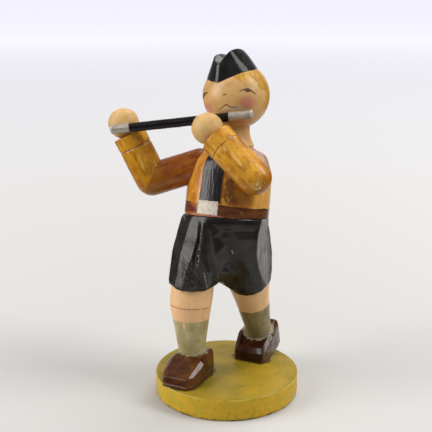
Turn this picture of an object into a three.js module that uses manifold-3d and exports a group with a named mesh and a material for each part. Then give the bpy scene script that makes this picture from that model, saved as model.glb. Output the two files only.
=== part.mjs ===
// A painted wooden figurine: a fife player who strides on a round base. Millimetres, +Z up.
// The origin is the middle of the base's underside, and the figure faces -Y.
// Right and left are the figure's own, so its right side is at -X.
import * as THREE from "three";
import { mergeVertices } from "three/addons/utils/BufferGeometryUtils.js";
import Module from "manifold-3d";

const wasm = await Module();
wasm.setup();

const vec = (x, y, z) => new THREE.Vector3(x, y, z);

// Fits of the glued joints
const glueGap = 0.25;
const boreClearance = 0.3;
// How far a tenon runs into its own piece, and how much spare a blank has before it is trimmed
const joinDepth = 1;
const trim = 3;

// Base
const baseDiameter = 42;
const baseThickness = 6.6;
const baseEdgeRound = 0.7;
const pegDiameter = 2.2;
const pegLengthInBase = 4;
const pegLengthInShoe = 2.4;

// Shoes
const shoeLength = 17;
const shoeWidth = 10;
const shoeHeight = 5.8;
const toeWidthShare = 0.3;
const rearToeWidthShare = 0.4;
const rearShoeLength = 14.6;
const rearShoeWidth = 10;
const rearShoeHeight = 6.4;
const rearHeelLift = THREE.MathUtils.degToRad(13);
const rearToeFlat = 0.45;
const rightToe = vec(-7.6, -19, baseThickness);
const leftToe = vec(3.9, 7.2, baseThickness);
const ankleFromHeel = 3.6;
const ankleOffCentre = -1.1;
const rearAnkleFromHeel = 5.8;
const rearAnkleOffCentre = 0.2;
const ankleHeightShare = 0.93;
const pegShare = 0.42;
const rearPegShare = 0.2;

// Legs
const kneeDiameter = 12.3;
const thighDiameter = 12.4;
const stockingTopDiameter = 10.6;
const ankleDiameter = 8;
const leftLegDiameter = 12.9;
const leftStockingTopDiameter = 10.5;
const leftAnkleDiameter = 8;
const kneeShare = 0.66;
const kneeBend = vec(-0.4, -0.35, 0);
const legTenonDiameter = 6;
const legTenonLength = 7;
const ankleTenonDiameter = 4.2;
const ankleTenonLength = 3;
const ankleSink = 0.9;
const kneeDowelDiameter = 3;
const kneeDowelLength = 8;

// Shorts
const waistHeight = 45.6;
const waistPlace = vec(-2.4, 4.6, baseThickness + waistHeight);
const waistDiameter = 25.2;
const rightHemFromWaist = vec(-6.8, -8.3, -19.1);
const leftHemFromWaist = vec(5.5, 5, -22.6);
const hemDiameter = 14.2;
const hipSwell = 1.3;
const crotchAboveHem = 0.6;
const hemEdgeRound = 0.3;
const facetCount = 12;

// Torso
const torsoDiameter = 24.4;
const torsoHeight = 20.4;
const torsoLean = THREE.MathUtils.degToRad(13.5);
const neckSeatDiameter = 11.6;
const waistTenonDiameter = 9;
const waistTenonLength = 7;

// Head and cap
const headDiameter = 19.1;
const neckDiameter = 7.9;
const neckLength = 5.8;
const neckTenonDiameter = 5;
const neckTenonLength = 5;
const headAboveNeck = 0.87;
const capSeatDiameter = 14.4;
const capHeight = 6.2;
const capRidgeHalfWidth = 2.8;
const capRidgeHalfLength = 5.6;
const capGrooveDepth = 1.9;
const capTopSlant = 0.22;
const capFrontDrop = 1.9;
const capRoll = THREE.MathUtils.degToRad(-10);
const capTurn = THREE.MathUtils.degToRad(8);
const capDowelDiameter = 2.6;
const capDowelLength = 6;

// Arms
const sleeveDiameter = 9.5;
const upperArmLength = 14;
const cuffLength = 4;
const cuffGrooveDepth = 0.25;
const armDowelDiameter = 3;
const shoulderDowelLength = 8;
const elbowDowelLength = 5;
const elbowDowelInset = 1.1;
const shoulderDowelInArm = 2;
const shoulderDowelAlongArm = 4.5;
const shoulderDowelTurn = 0.35;
const shoulderHeightShare = 0.735;
const rightShoulderOut = vec(-7.9, -4.6, 0);
const leftShoulderOut = vec(6.9, -0.6, 0);
const rightUpperArmDirection = vec(-0.866, -0.404, -0.295).normalize();
const leftUpperArmDirection = vec(0.43, -0.9, -0.055).normalize();
const handDiameter = 8.8;
const wristFromHand = 3.5;
const wristTenonDiameter = 4;
const wristTenonLength = 4;

// Fife
const fifeLength = 40.6;
const fifeDiameter = 2.6;
const fifeBeyondMouth = 5.5;
const fifeToCuff = 0.2;
const fifeDirection = vec(0.9493, 0.2852, 0.1322).normalize();
const mouthDirection = vec(0.314, -0.861, -0.399).normalize();
const rightHandFromMouth = 32.5;
const leftHandFromMouth = 7.1;
const rightHandBehindFife = vec(-1.4, 4.3, 0.75);
const leftHandBehindFife = vec(1, -2.4, -2.1);

// Colours of the paint
const paint = (color, roughness = 0.35) =>
  new THREE.MeshStandardMaterial({ color, roughness, metalness: 0 });
const basePaint = paint(0xa8963c, 0.5);
const shoePaint = paint(0x2e1710);
const stockingPaint = paint(0x847c5c, 0.5);
const skinPaint = paint(0xd9a878);
const shortsPaint = paint(0x17181a, 0.25);
const tunicPaint = paint(0xb9761c);
const capPaint = paint(0x141416, 0.25);
const fifePaint = paint(0x17141a);
const bareWood = paint(0xcdaa74, 0.7);

const figurine = new THREE.Group();

// A closed geometry as a solid, seated by a matrix
function solid(geometry, place = new THREE.Matrix4()) {
  const points = geometry.clone();
  points.deleteAttribute("normal");
  points.deleteAttribute("uv");
  const merged = mergeVertices(points.applyMatrix4(place), 1e-4);
  return new wasm.Manifold(
    new wasm.Mesh({
      numProp: 3,
      vertProperties: merged.getAttribute("position").array,
      triVerts: new Uint32Array(merged.index.array),
    }),
  );
}

// A solid as a named mesh of the figurine
function addPiece(name, body, material) {
  const { vertProperties, triVerts } = body.getMesh();
  const geometry = new THREE.BufferGeometry();
  geometry.setAttribute("position", new THREE.BufferAttribute(vertProperties, 3));
  geometry.setIndex(new THREE.BufferAttribute(triVerts, 1));
  geometry.computeVertexNormals();
  const mesh = new THREE.Mesh(geometry, material);
  mesh.name = name;
  figurine.add(mesh);
}

// The matrix that seats a piece at a point with its +Z along a direction
function seat(point, direction) {
  const up = direction.clone().normalize();
  const back = vec(0, 1, 0);
  back.addScaledVector(up, -back.dot(up)).normalize();
  const side = new THREE.Vector3().crossVectors(back, up);
  return new THREE.Matrix4().makeBasis(side, back, up).setPosition(point);
}

// A lathe-turned piece: its profile is a list of radius and height, from the bottom up
function turned(profile, place, segments = 32) {
  const outline = profile.map(([radius, height]) => new THREE.Vector2(radius, height));
  const geometry = new THREE.LatheGeometry(outline, segments);
  geometry.rotateX(Math.PI / 2);
  return solid(geometry, place);
}

// A dowel, tenon or bore between two points
function rod(diameter, from, to, segments = 16) {
  const along = to.clone().sub(from);
  const radius = diameter / 2;
  return turned(
    [
      [0, 0],
      [radius, 0],
      [radius, along.length()],
      [0, along.length()],
    ],
    seat(from, along),
    segments,
  );
}

// The point that lies a distance beyond the first of two points, away from the second
const beyond = (point, other, distance) =>
  point.clone().addScaledVector(point.clone().sub(other).normalize(), distance);

// The bore that a dowel or tenon between two points sits in, with its clearance
const boreOf = (diameter, from, to) =>
  rod(
    diameter + 2 * boreClearance,
    beyond(from, to, boreClearance),
    beyond(to, from, boreClearance),
  );

// Half the glue gap along the normal of a glued face
const halfGap = (normal) => normal.clone().multiplyScalar(glueGap / 2);

// A ball with its poles along Z
function ball(diameter, centre, segments = 28) {
  const geometry = new THREE.SphereGeometry(diameter / 2, segments, segments / 2);
  return solid(geometry, new THREE.Matrix4().makeTranslation(centre));
}

// A skin over rings of equal point counts, closed at both ends
function lofted(rings, place) {
  const count = rings[0].length;
  const positions = rings.flat();
  const faces = [];
  for (let ring = 0; ring + 1 < rings.length; ring++) {
    for (let i = 0; i < count; i++) {
      const next = (i + 1) % count;
      const a = ring * count + i;
      const b = ring * count + next;
      faces.push(a, b, b + count, a, b + count, a + count);
    }
  }
  for (const [ring, first] of [
    [rings[0], 0],
    [rings.at(-1), (rings.length - 1) * count],
  ]) {
    const middle = positions.length;
    const centre = new THREE.Vector3();
    ring.forEach((point) => centre.addScaledVector(point, 1 / count));
    positions.push(centre);
    for (let i = 0; i < count; i++) {
      const edge = [first + i, first + ((i + 1) % count)];
      if (first === 0) edge.reverse();
      faces.push(edge[0], edge[1], middle);
    }
  }
  const geometry = new THREE.BufferGeometry().setFromPoints(positions);
  geometry.setIndex(faces);
  return solid(geometry, place);
}

// Keeps the part of a body that lies beyond a plane, on the side its normal points to
const keepBeyond = (body, point, normal) => {
  const unit = normal.clone().normalize();
  return body.trimByPlane(unit.toArray(), unit.dot(point));
};

// A carved shoe lies along +Y with its toe at the origin. Each station across it is an
// eight-sided section: a flat sole, upright sides, and a chamfer up to a flat top.
function carvedShoe(length, width, height, toeShare, place) {
  const stations = [
    [0, toeShare, 0.36],
    [0.07, 0.42, 0.56],
    [0.22, 0.5, 0.74],
    [0.52, 0.5, 0.9],
    [0.72, 0.48, 0.97],
    [0.94, 0.42, 1],
    [1, 0.34, 0.97],
  ];
  const rings = stations.map(([along, halfShare, topShare]) => {
    const y = along * length;
    const half = halfShare * width;
    const top = topShare * height;
    const outline = [
      [-half, 0],
      [-half, 0.55 * top],
      [-0.66 * half, top],
      [0.66 * half, top],
      [half, 0.55 * top],
      [half, 0],
    ];
    return outline.map(([x, z]) => vec(x, y, z));
  });
  return lofted(rings, place);
}

const upward = vec(0, 0, 1);

// Shoes: the right one stands flat, and the left one has its heel lifted off its toe
const rightShoePlace = new THREE.Matrix4().makeTranslation(
  rightToe.clone().addScaledVector(upward, glueGap),
);
const leftShoePlace = new THREE.Matrix4()
  .makeTranslation(leftToe.clone().addScaledVector(upward, -rearToeFlat))
  .multiply(new THREE.Matrix4().makeRotationX(rearHeelLift));
const rightAnkle = vec(
  ankleOffCentre,
  shoeLength - ankleFromHeel,
  ankleHeightShare * shoeHeight,
).applyMatrix4(rightShoePlace);
const leftAnkle = vec(
  rearAnkleOffCentre,
  rearShoeLength - rearAnkleFromHeel,
  ankleHeightShare * rearShoeHeight,
).applyMatrix4(leftShoePlace);

// Places of the hems and the right knee
const rightHem = waistPlace.clone().add(rightHemFromWaist);
const leftHem = waistPlace.clone().add(leftHemFromWaist);
const rightKnee = rightAnkle.clone().lerp(rightHem, kneeShare).add(kneeBend);

// A leg piece is turned between two points: its profile gives diameters and shares of the way up
function turnedLeg(bottom, top, profile) {
  const along = top.clone().sub(bottom);
  const outline = profile.map(([diameter, share]) => [diameter / 2, share * along.length()]);
  return turned([[0, 0], ...outline, [0, along.length()]], seat(bottom, along));
}

// Each leg stands in a shallow seat in its shoe, with a tenon going deeper
const rightCalfFoot = beyond(rightAnkle, rightKnee, ankleSink);
const leftLegFoot = beyond(leftAnkle, leftHem, ankleSink);
const rightAnkleTenonEnd = beyond(rightAnkle, rightKnee, ankleTenonLength);
const leftAnkleTenonEnd = beyond(leftAnkle, leftHem, ankleTenonLength);
const rightThighTenonEnd = beyond(rightHem, rightKnee, legTenonLength);
const leftLegTenonEnd = beyond(leftHem, leftAnkle, legTenonLength);

const kneeAxis = rightHem.clone().sub(rightKnee).normalize();
const calfAxis = rightKnee.clone().sub(rightAnkle).normalize();
const kneePlane = kneeAxis.clone().add(calfAxis).normalize();
const hemDown = vec(0, 0, -1);

const rightCalfBlank = turnedLeg(rightCalfFoot, beyond(rightKnee, rightAnkle, trim), [
  [ankleDiameter, 0],
  [ankleDiameter, 0.14],
  [stockingTopDiameter, 0.66],
  [kneeDiameter, 0.95],
  [kneeDiameter, 1],
]);
const kneeDowelHalf = kneePlane.clone().multiplyScalar(kneeDowelLength / 2);
const kneeDowelFrom = rightKnee.clone().sub(kneeDowelHalf);
const kneeDowelTo = rightKnee.clone().add(kneeDowelHalf);
const kneeBore = boreOf(kneeDowelDiameter, kneeDowelFrom, kneeDowelTo);
const rightCalf = keepBeyond(
  rightCalfBlank,
  rightKnee.clone().sub(halfGap(kneePlane)),
  kneePlane.clone().negate(),
)
  .add(rod(ankleTenonDiameter, beyond(rightAnkle, rightKnee, -joinDepth), rightAnkleTenonEnd))
  .subtract(kneeBore);

const rightThighBlank = turnedLeg(
  beyond(rightKnee, rightHem, trim),
  beyond(rightHem, rightKnee, trim),
  [
    [kneeDiameter, 0],
    [thighDiameter, 0.5],
    [thighDiameter, 1],
  ],
);
const rightThigh = keepBeyond(
  keepBeyond(rightThighBlank, rightKnee.clone().add(halfGap(kneePlane)), kneePlane),
  rightHem.clone().addScaledVector(hemDown, glueGap),
  hemDown,
)
  .add(rod(legTenonDiameter, beyond(rightHem, rightKnee, -joinDepth), rightThighTenonEnd))
  .subtract(kneeBore);

const leftLegBlank = turnedLeg(leftLegFoot, beyond(leftHem, leftAnkle, trim), [
  [leftAnkleDiameter, 0],
  [leftAnkleDiameter, 0.16],
  [leftStockingTopDiameter, 0.6],
  [leftLegDiameter, 0.9],
  [leftLegDiameter, 1],
]);
const leftLeg = keepBeyond(
  leftLegBlank,
  leftHem.clone().addScaledVector(hemDown, glueGap),
  hemDown,
)
  .add(rod(ankleTenonDiameter, beyond(leftAnkle, leftHem, -joinDepth), leftAnkleTenonEnd))
  .add(rod(legTenonDiameter, beyond(leftHem, leftAnkle, -joinDepth), leftLegTenonEnd));

addPiece("right_calf", rightCalf, stockingPaint);
addPiece("right_knee_dowel", rod(kneeDowelDiameter, kneeDowelFrom, kneeDowelTo), bareWood);
addPiece("right_thigh", rightThigh, skinPaint);
addPiece("left_leg", leftLeg, stockingPaint);

// Shoes with a socket for the ankle, pegged to the base through their soles
const pegPlaces = {
  right: vec(rightToe.x, rightToe.y + pegShare * shoeLength, baseThickness),
  left: vec(leftToe.x, leftToe.y + rearPegShare * rearShoeLength, baseThickness),
};
const pegEnds = (place) => [
  place.clone().addScaledVector(upward, -pegLengthInBase),
  place.clone().addScaledVector(upward, pegLengthInShoe),
];
let base = turned(
  [
    [0, 0],
    [baseDiameter / 2 - baseEdgeRound, 0],
    [baseDiameter / 2, baseEdgeRound],
    [baseDiameter / 2, baseThickness - baseEdgeRound],
    [baseDiameter / 2 - 0.3 * baseEdgeRound, baseThickness - 0.3 * baseEdgeRound],
    [baseDiameter / 2 - baseEdgeRound, baseThickness],
    [0, baseThickness],
  ],
  new THREE.Matrix4(),
  96,
);
const shoes = {
  right: carvedShoe(shoeLength, shoeWidth, shoeHeight, toeWidthShare, rightShoePlace)
    .subtract(boreOf(ankleDiameter, rightCalfFoot, beyond(rightAnkle, rightKnee, -trim)))
    .subtract(boreOf(ankleTenonDiameter, rightAnkleTenonEnd, rightAnkle)),
  left: keepBeyond(
    carvedShoe(rearShoeLength, rearShoeWidth, rearShoeHeight, rearToeWidthShare, leftShoePlace),
    leftToe.clone().addScaledVector(upward, glueGap),
    upward,
  )
    .subtract(boreOf(leftAnkleDiameter, leftLegFoot, beyond(leftAnkle, leftHem, -trim)))
    .subtract(boreOf(ankleTenonDiameter, leftAnkleTenonEnd, leftAnkle)),
};
for (const side of ["right", "left"]) {
  const [low, high] = pegEnds(pegPlaces[side]);
  const bore = boreOf(pegDiameter, low, high);
  base = base.subtract(bore);
  addPiece(`${side}_shoe`, shoes[side].subtract(bore), shoePaint);
  addPiece(`${side}_shoe_peg`, rod(pegDiameter, low, high), bareWood);
}
addPiece("base_disc", base, basePaint);

// Shorts: carved in facets from the round waist down to two round hems
const torsoAxis = vec(0, Math.sin(torsoLean), Math.cos(torsoLean));

function facetRing(centre, normal, diameter, turn = 0) {
  const place = seat(centre, normal);
  const ring = [];
  for (let i = 0; i < facetCount; i++) {
    const angle = ((i + turn) / facetCount) * 2 * Math.PI;
    const radius = diameter / 2;
    ring.push(vec(radius * Math.cos(angle), radius * Math.sin(angle), 0).applyMatrix4(place));
  }
  return ring;
}

function shortsLeg(hem) {
  const middle = hem.clone().lerp(waistPlace, 0.5);
  const middleDiameter = (hemDiameter + waistDiameter) / 2 + hipSwell;
  const blend = torsoAxis.clone().add(upward).normalize();
  return lofted([
    facetRing(hem, upward, hemDiameter - 2 * hemEdgeRound),
    facetRing(hem.clone().addScaledVector(upward, 1), upward, hemDiameter),
    facetRing(middle, blend, middleDiameter),
    facetRing(waistPlace, torsoAxis, waistDiameter),
  ]);
}

const crotch = rightHem.clone().lerp(leftHem, 0.5);
crotch.z = Math.max(rightHem.z, leftHem.z) + crotchAboveHem;
const seatBlock = lofted([
  facetRing(crotch, upward, hemDiameter * 0.62),
  facetRing(crotch.clone().lerp(waistPlace, 0.5), upward, hemDiameter),
  facetRing(crotch.clone().lerp(waistPlace, 0.8), upward, hemDiameter),
]);
const waistTenonEnd = waistPlace.clone().addScaledVector(torsoAxis, -waistTenonLength);
const shorts = shortsLeg(rightHem)
  .add(shortsLeg(leftHem))
  .add(seatBlock)
  .subtract(
    boreOf(waistTenonDiameter, waistTenonEnd, waistPlace.clone().addScaledVector(torsoAxis, joinDepth)),
  )
  .subtract(boreOf(legTenonDiameter, rightThighTenonEnd, beyond(rightHem, rightKnee, -trim)))
  .subtract(boreOf(legTenonDiameter, leftLegTenonEnd, beyond(leftHem, leftAnkle, -trim)));
addPiece("shorts", shorts, shortsPaint);

// Torso: a turned body with a tenon below, sockets for the neck and for both shoulder dowels
const torsoPlace = seat(waistPlace.clone().addScaledVector(torsoAxis, glueGap), torsoAxis);
const torsoProfile = (growth) => [
  [0, -growth],
  [torsoDiameter / 2 + growth, -growth],
  [torsoDiameter / 2 + growth, 0.3 * torsoHeight],
  [0.965 * (torsoDiameter / 2) + growth, 0.64 * torsoHeight],
  [0.9 * (torsoDiameter / 2) + growth, 0.765 * torsoHeight],
  [0.76 * (torsoDiameter / 2) + growth, 0.868 * torsoHeight],
  [0.61 * (torsoDiameter / 2) + growth, 0.946 * torsoHeight],
  [neckSeatDiameter / 2 + growth, torsoHeight + growth],
  [0, torsoHeight + growth],
];
const torsoTop = waistPlace.clone().addScaledVector(torsoAxis, torsoHeight + glueGap);
const headCentre = torsoTop.clone().add(
  vec(0.3, 0.06 * (neckLength + headDiameter / 2), neckLength + (headAboveNeck * headDiameter) / 2),
);
const neckAxis = headCentre.clone().sub(torsoTop).normalize();
const neckTenonEnd = torsoTop.clone().addScaledVector(neckAxis, -neckTenonLength);
const torsoBlank = turned(torsoProfile(0), torsoPlace, 48);
const torsoHull = turned(torsoProfile(glueGap), torsoPlace, 48);

// Fife: one dowel, held at the lips
const mouth = headCentre
  .clone()
  .addScaledVector(mouthDirection, (headDiameter + fifeDiameter) / 2 + glueGap);
const fifeEnd = mouth.clone().addScaledVector(fifeDirection, fifeBeyondMouth);
const fifeStart = fifeEnd.clone().addScaledVector(fifeDirection, -fifeLength);
const fifeGroove = boreOf(fifeDiameter, fifeStart, fifeEnd);
const cuffGroove = rod(fifeDiameter + 2 * fifeToCuff, fifeStart, fifeEnd);
addPiece("fife", rod(fifeDiameter, fifeStart, fifeEnd, 20), fifePaint);

// A limb of the arm, turned with a round end, is mitred at the elbow
function roundEnded(from, to, flatEnd) {
  const along = to.clone().sub(from);
  const radius = sleeveDiameter / 2;
  const profile = [];
  const steps = 8;
  for (let i = 0; i <= steps; i++) {
    const angle = (i / steps) * (Math.PI / 2);
    profile.push([radius * Math.sin(angle), -radius * Math.cos(angle)]);
  }
  if (flatEnd) {
    const length = along.length();
    const groove = radius - cuffGrooveDepth;
    profile.push([radius, length - cuffLength - 0.3], [groove, length - cuffLength]);
    profile.push([radius, length - cuffLength + 0.3], [radius, length], [0, length]);
  } else {
    for (let i = 0; i <= steps; i++) {
      const angle = (i / steps) * (Math.PI / 2);
      profile.push([radius * Math.cos(angle), along.length() + radius * Math.sin(angle)]);
    }
  }
  profile[0][0] = 0;
  profile.at(-1)[0] = 0;
  return turned(profile, seat(from, along), 28);
}

function addArm(side, shoulderOut, upperDirection, handStation, handOffset) {
  const shoulder = waistPlace
    .clone()
    .addScaledVector(torsoAxis, shoulderHeightShare * torsoHeight)
    .add(shoulderOut);
  const elbow = shoulder.clone().addScaledVector(upperDirection, upperArmLength);
  const hand = mouth.clone().addScaledVector(fifeDirection, -handStation).add(handOffset);
  const wrist = beyond(hand, elbow, -wristFromHand);
  const toShoulder = shoulder.clone().sub(elbow).normalize();
  const toWrist = wrist.clone().sub(elbow).normalize();
  const mitre = toShoulder.clone().sub(toWrist).normalize();
  const armPlaneIn = toShoulder.clone().add(toWrist).normalize();

  const dowelMiddle = elbow.clone().addScaledVector(armPlaneIn, elbowDowelInset);
  const elbowFrom = dowelMiddle.clone().addScaledVector(mitre, -elbowDowelLength / 2);
  const elbowTo = dowelMiddle.clone().addScaledVector(mitre, elbowDowelLength / 2);
  const elbowBore = boreOf(armDowelDiameter, elbowFrom, elbowTo);

  const shoulderAxis = vec(Math.sign(shoulderOut.x), -shoulderDowelTurn, 0).normalize();
  const shoulderTo = shoulder
    .clone()
    .addScaledVector(upperDirection, shoulderDowelAlongArm)
    .addScaledVector(shoulderAxis, shoulderDowelInArm);
  const shoulderFrom = shoulderTo.clone().addScaledVector(shoulderAxis, -shoulderDowelLength);
  const shoulderBore = boreOf(armDowelDiameter, shoulderFrom, shoulderTo);

  const upperArm = keepBeyond(
    roundEnded(shoulder, elbow, false),
    elbow.clone().add(halfGap(mitre)),
    mitre,
  )
    .subtract(torsoHull)
    .subtract(elbowBore)
    .subtract(shoulderBore);
  const wristTenonEnd = beyond(wrist, hand, wristTenonLength);
  const forearm = keepBeyond(
    roundEnded(elbow, wrist, true),
    elbow.clone().sub(halfGap(mitre)),
    mitre.clone().negate(),
  )
    .subtract(torsoHull)
    .subtract(cuffGroove)
    .subtract(elbowBore)
    .subtract(boreOf(wristTenonDiameter, wristTenonEnd, hand));
  const handBody = keepBeyond(
    ball(handDiameter, hand),
    wrist.clone().addScaledVector(toWrist, glueGap),
    toWrist,
  )
    .add(rod(wristTenonDiameter, wristTenonEnd, hand))
    .subtract(fifeGroove);

  addPiece(`${side}_upper_arm`, upperArm, tunicPaint);
  addPiece(`${side}_forearm`, forearm, tunicPaint);
  addPiece(`${side}_hand`, handBody, skinPaint);
  addPiece(`${side}_elbow_dowel`, rod(armDowelDiameter, elbowFrom, elbowTo), bareWood);
  addPiece(`${side}_shoulder_dowel`, rod(armDowelDiameter, shoulderFrom, shoulderTo), bareWood);
  return shoulderBore;
}

const rightShoulderBore = addArm(
  "right",
  rightShoulderOut,
  rightUpperArmDirection,
  rightHandFromMouth,
  rightHandBehindFife,
);
const leftShoulderBore = addArm(
  "left",
  leftShoulderOut,
  leftUpperArmDirection,
  leftHandFromMouth,
  leftHandBehindFife,
);

const torso = torsoBlank
  .add(rod(waistTenonDiameter, waistTenonEnd, waistPlace.clone().addScaledVector(torsoAxis, joinDepth)))
  .subtract(boreOf(neckTenonDiameter, neckTenonEnd, torsoTop.clone().addScaledVector(neckAxis, joinDepth)))
  .subtract(rightShoulderBore)
  .subtract(leftShoulderBore);
addPiece("torso", torso, tunicPaint);

// Head: a turned ball and neck, cut flat at a slant where the cap sits
const headRadius = headDiameter / 2;
const headLift = headCentre.clone().sub(torsoTop).length();
const headProfile = [
  [0, -0.3 * neckLength],
  [neckSeatDiameter / 2, -0.3 * neckLength],
  [neckSeatDiameter / 2, 0.05 * neckLength],
  [0.86 * (neckSeatDiameter / 2), 0.22 * neckLength],
  [neckDiameter / 2, 0.6 * neckLength],
  [neckDiameter / 2, headLift - headAboveNeck * headRadius - 0.1],
];
const chinAngle = Math.asin(neckDiameter / headDiameter);
const headSteps = 16;
for (let i = 1; i <= headSteps; i++) {
  const angle = chinAngle + (i / headSteps) * (Math.PI - chinAngle);
  headProfile.push([headRadius * Math.sin(angle), headLift - headRadius * Math.cos(angle)]);
}
headProfile.at(-1)[0] = 0;
const headBlank = keepBeyond(
  turned(headProfile, seat(torsoTop, neckAxis), 40),
  torsoTop.clone().addScaledVector(torsoAxis, glueGap),
  torsoAxis,
).add(rod(neckTenonDiameter, neckTenonEnd, torsoTop.clone().addScaledVector(neckAxis, joinDepth)));
const capTilt = new THREE.Matrix4()
  .makeRotationY(capRoll)
  .multiply(new THREE.Matrix4().makeRotationZ(-capTurn));
const capAxis = upward.clone().applyMatrix4(capTilt);
const capSeatRise = Math.sqrt(headRadius ** 2 - (capSeatDiameter / 2) ** 2);
const capSeat = headCentre.clone().addScaledVector(capAxis, capSeatRise);
const capDowelFrom = capSeat.clone().addScaledVector(capAxis, -capDowelLength / 2);
const capDowelTo = capSeat.clone().addScaledVector(capAxis, capDowelLength / 2);
const capBore = boreOf(capDowelDiameter, capDowelFrom, capDowelTo);
const head = keepBeyond(
  headBlank,
  capSeat.clone().sub(halfGap(capAxis)),
  capAxis.clone().negate(),
).subtract(capBore);
addPiece("head", head, skinPaint);
addPiece("cap_dowel", rod(capDowelDiameter, capDowelFrom, capDowelTo), bareWood);

// Cap: its round rim draws in to a pointed boat shape with two ridges and a groove between
const capPoints = 32;
const capPoint = 1.6;
function capRing(share, inward, drop) {
  const ring = [];
  for (let i = 0; i < capPoints; i++) {
    const angle = (i / capPoints) * 2 * Math.PI;
    const across = Math.cos(angle);
    const along = Math.sin(angle);
    const rim = vec((capSeatDiameter / 2) * across, (capSeatDiameter / 2) * along, 0);
    const width = capRidgeHalfWidth * Math.sign(across) * (1 - Math.abs(along) ** capPoint);
    const topHeight =
      capHeight + capTopSlant * width - capFrontDrop * Math.abs(along) ** capPoint - drop;
    const top = vec(width * inward, capRidgeHalfLength * along * (0.4 + 0.6 * inward), topHeight);
    ring.push(rim.lerp(top, share).setZ(share * topHeight));
  }
  return ring;
}
const capRings = [
  capRing(0, 1, 0),
  capRing(0.35, 1, -0.3),
  capRing(0.75, 1, -0.2),
  capRing(1, 1, 0),
  capRing(1, 0.75, 0.1),
  capRing(1, 0.2, capGrooveDepth),
];
const capPlace = new THREE.Matrix4()
  .makeTranslation(capSeat.clone().add(halfGap(capAxis)))
  .multiply(capTilt);
addPiece("cap", lofted(capRings, capPlace).subtract(capBore), capPaint);

export default figurine;
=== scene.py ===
# A painted wooden figurine: a fife player in shorts and a side cap, striding on a round base.
# Its pieces are worked out in millimetres, in the order in which the figurine is put together,
# and each is brought to metres when it joins the frame. Right and left are the figure's own.
from math import asin, ceil, cos, pi, radians, sin, sqrt

import bmesh
import bpy
from mathutils import Matrix, Vector, noise


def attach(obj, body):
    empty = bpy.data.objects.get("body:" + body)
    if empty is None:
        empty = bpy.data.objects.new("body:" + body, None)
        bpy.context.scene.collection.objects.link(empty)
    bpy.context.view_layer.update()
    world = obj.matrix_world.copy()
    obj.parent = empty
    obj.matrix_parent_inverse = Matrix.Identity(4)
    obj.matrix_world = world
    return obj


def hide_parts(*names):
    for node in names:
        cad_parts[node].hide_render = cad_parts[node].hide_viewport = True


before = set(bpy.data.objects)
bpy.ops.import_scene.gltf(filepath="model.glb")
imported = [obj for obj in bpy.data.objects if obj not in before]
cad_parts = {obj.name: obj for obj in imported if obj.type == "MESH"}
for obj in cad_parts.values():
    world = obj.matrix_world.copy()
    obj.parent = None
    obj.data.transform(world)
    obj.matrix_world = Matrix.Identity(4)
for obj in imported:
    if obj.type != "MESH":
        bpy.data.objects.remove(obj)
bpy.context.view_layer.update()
mm = 0.001

# The studio: a pale seamless floor, three softboxes and a camera that stands in front, a little
# to the figure's left, and looks down on it.
figure_middle = Vector((-4, 0, 50)) * mm
camera_azimuth = radians(25)
camera_turn = radians(25.7203)
camera_dip = radians(15.538)
camera_place = Vector((106.5, -228.39, 123.57)) * mm
camera_lens = 76.73
floor_reach = 12.0
backdrop_colour = (0.93, 0.925, 0.97, 1)
floor_glow = (0.69, 0.685, 0.79, 1)
paper_tint = (0.545, 0.54, 0.53, 1)
dark_floor = (0.08, 0.08, 0.08, 1)
black = (0, 0, 0, 1)


def add_object(name, data):
    """A new object in the scene"""
    made = bpy.data.objects.new(name, data)
    bpy.context.scene.collection.objects.link(made)
    return made


def mesh_of(name, shape):
    """A new mesh of a shape, which stays as it is"""
    mesh = bpy.data.meshes.new(name)
    shape.to_mesh(mesh)
    return mesh


camera_data = bpy.data.cameras.new("camera")
camera_data.lens = camera_lens
camera_data.clip_start = 0.01
camera = add_object("camera", camera_data)
camera.location = camera_place
camera.rotation_euler = (pi / 2 - camera_dip, 0, camera_turn)
bpy.context.scene.camera = camera
bpy.context.scene.view_settings.view_transform = "Standard"


def add_softbox(name, from_camera, elevation, distance, width, height, watts, tint):
    """A softbox that faces the figure. Its azimuth is counted from the camera, to the right."""
    azimuth = camera_azimuth + radians(from_camera)
    rise = radians(elevation)
    outward = Vector((sin(azimuth) * cos(rise), -cos(azimuth) * cos(rise), sin(rise)))
    lamp = bpy.data.lights.new(name, "AREA")
    lamp.shape = "RECTANGLE"
    lamp.size = width
    lamp.size_y = height
    lamp.energy = watts
    lamp.color = tint
    stand = add_object(name, lamp)
    stand.location = figure_middle + outward * distance
    stand.rotation_euler = (-outward).to_track_quat("-Z", "Y").to_euler()
    stand.visible_camera = False


add_softbox("left_softbox", -76, 24, 0.8, 0.5, 0.72, 6.2, (1, 0.98, 0.95))
add_softbox("right_softbox", 78, 42, 0.8, 0.36, 0.52, 4.7, (1, 0.985, 0.96))
add_softbox("rear_softbox", 150, 62, 0.9, 0.5, 0.5, 3.4, (1, 0.99, 0.97))


def add_node(tree, kind, inputs={}, **settings):
    """A shader node with its settings made. Fields, nodes, sockets or plain values feed it."""
    node = tree.nodes.new("ShaderNode" + kind)
    for name, value in settings.items():
        setattr(node, name, value)
    for name, value in inputs.items():
        value = value.socket if isinstance(value, Field) else value
        value = value.outputs[0] if isinstance(value, bpy.types.Node) else value
        if isinstance(value, bpy.types.NodeSocket):
            tree.links.new(value, node.inputs[name])
        else:
            node.inputs[name].default_value = value
    return node


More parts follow.
